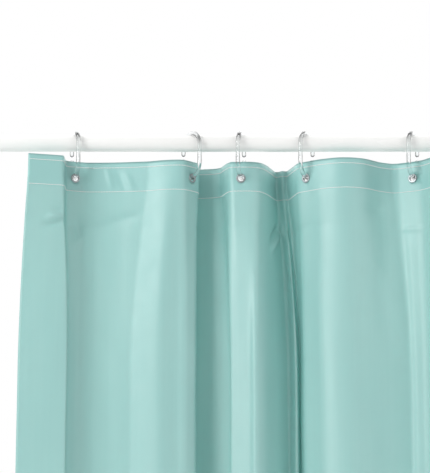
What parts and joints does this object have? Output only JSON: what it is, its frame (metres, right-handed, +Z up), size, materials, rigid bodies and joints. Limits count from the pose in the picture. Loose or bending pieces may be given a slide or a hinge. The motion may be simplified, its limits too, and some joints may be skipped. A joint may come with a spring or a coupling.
{
  "type": "shower curtain",
  "caption": "Vinyl shower curtain with a stitched top hem, hung by open plastic rings on a straight wall-to-wall rod and partly drawn.",
  "frame": {"origin": "centre of the left flange's wall face, on the rod's axis", "axes": "+X along the rod to the right wall, +Z up, the room in front of the curtain on the -Y side"},
  "size_m": [1.524, 0.1059, 1.8814],
  "materials": {
    "rod_enamel": "gloss white enamel",
    "flange_enamel": "gloss white enamel",
    "screw_steel": "satin steel",
    "curtain_vinyl": "satin, slightly translucent aqua vinyl",
    "ring_clear_plastic": "clear, glossy",
    "eyelet_metal": "polished nickel"
  },
  "bodies": {
    "rod": {"rod_tube": "rod_enamel", "flange_left": "flange_enamel", "flange_right": "flange_enamel", "set_screw_left": "screw_steel", "set_screw_right": "screw_steel"},
    "curtain": {"curtain_sheet": "curtain_vinyl"},
    "ring_01": {"ring_01": "ring_clear_plastic", "eyelet_01": "eyelet_metal", "eyelet_washer_01": "eyelet_metal"},
    "ring_02": {"ring_02": "ring_clear_plastic", "eyelet_02": "eyelet_metal", "eyelet_washer_02": "eyelet_metal"},
    "ring_03": {"ring_03": "ring_clear_plastic", "eyelet_03": "eyelet_metal", "eyelet_washer_03": "eyelet_metal"},
    "ring_04": {"ring_04": "ring_clear_plastic", "eyelet_04": "eyelet_metal", "eyelet_washer_04": "eyelet_metal"},
    "ring_05": {"ring_05": "ring_clear_plastic", "eyelet_05": "eyelet_metal", "eyelet_washer_05": "eyelet_metal"},
    "ring_06": {"ring_06": "ring_clear_plastic", "eyelet_06": "eyelet_metal", "eyelet_washer_06": "eyelet_metal"},
    "ring_07": {"ring_07": "ring_clear_plastic", "eyelet_07": "eyelet_metal", "eyelet_washer_07": "eyelet_metal"},
    "ring_08": {"ring_08": "ring_clear_plastic", "eyelet_08": "eyelet_metal", "eyelet_washer_08": "eyelet_metal"},
    "ring_09": {"ring_09": "ring_clear_plastic", "eyelet_09": "eyelet_metal", "eyelet_washer_09": "eyelet_metal"},
    "ring_10": {"ring_10": "ring_clear_plastic", "eyelet_10": "eyelet_metal", "eyelet_washer_10": "eyelet_metal"},
    "ring_11": {"ring_11": "ring_clear_plastic", "eyelet_11": "eyelet_metal", "eyelet_washer_11": "eyelet_metal"},
    "ring_12": {"ring_12": "ring_clear_plastic", "eyelet_12": "eyelet_metal", "eyelet_washer_12": "eyelet_metal"}
  },
  "joints": [
    {"name": "curtain_swing", "type": "hinge", "parent": "rod", "child": "curtain", "pos_m": [0, 0, 0], "axis": [1, 0, 0], "range_deg": [-25, 25]},
    {"name": "slide_ring_12", "type": "slide", "parent": "curtain", "child": "ring_12", "axis": [-1, 0, 0], "range_m": [0, 0.78642], "deforming": ["curtain_sheet"]},
    {"name": "slide_ring_11", "type": "slide", "parent": "curtain", "child": "ring_11", "axis": [-1, 0, 0], "range_m": [0, 0.7145]},
    {"name": "slide_ring_10", "type": "slide", "parent": "curtain", "child": "ring_10", "axis": [-1, 0, 0], "range_m": [0, 0.65708]},
    {"name": "slide_ring_09", "type": "slide", "parent": "curtain", "child": "ring_09", "axis": [-1, 0, 0], "range_m": [0, 0.5869]},
    {"name": "slide_ring_08", "type": "slide", "parent": "curtain", "child": "ring_08", "axis": [-1, 0, 0], "range_m": [0, 0.52426]},
    {"name": "slide_ring_07", "type": "slide", "parent": "curtain", "child": "ring_07", "axis": [-1, 0, 0], "range_m": [0, 0.45234]},
    {"name": "slide_ring_06", "type": "slide", "parent": "curtain", "child": "ring_06", "axis": [-1, 0, 0], "range_m": [0, 0.39666]},
    {"name": "slide_ring_05", "type": "slide", "parent": "curtain", "child": "ring_05", "axis": [-1, 0, 0], "range_m": [0, 0.32822]},
    {"name": "slide_ring_04", "type": "slide", "parent": "curtain", "child": "ring_04", "axis": [-1, 0, 0], "range_m": [0, 0.25137]},
    {"name": "slide_ring_03", "type": "slide", "parent": "curtain", "child": "ring_03", "axis": [-1, 0, 0], "range_m": [0, 0.20393]},
    {"name": "slide_ring_02", "type": "slide", "parent": "curtain", "child": "ring_02", "axis": [-1, 0, 0], "range_m": [0, 0.1682]},
    {"name": "slide_ring_01", "type": "slide", "parent": "curtain", "child": "ring_01", "axis": [-1, 0, 0], "range_m": [0, 0.0841]}
  ],
  "couplings": [
    {"joint": "slide_ring_01", "follows": "slide_ring_12", "ratio": 0.10694},
    {"joint": "slide_ring_02", "follows": "slide_ring_12", "ratio": 0.21388},
    {"joint": "slide_ring_03", "follows": "slide_ring_12", "ratio": 0.25931},
    {"joint": "slide_ring_04", "follows": "slide_ring_12", "ratio": 0.31964},
    {"joint": "slide_ring_05", "follows": "slide_ring_12", "ratio": 0.41736},
    {"joint": "slide_ring_06", "follows": "slide_ring_12", "ratio": 0.50439},
    {"joint": "slide_ring_07", "follows": "slide_ring_12", "ratio": 0.57519},
    {"joint": "slide_ring_08", "follows": "slide_ring_12", "ratio": 0.66664},
    {"joint": "slide_ring_09", "follows": "slide_ring_12", "ratio": 0.74629},
    {"joint": "slide_ring_10", "follows": "slide_ring_12", "ratio": 0.83553},
    {"joint": "slide_ring_11", "follows": "slide_ring_12", "ratio": 0.90855}
  ]
}
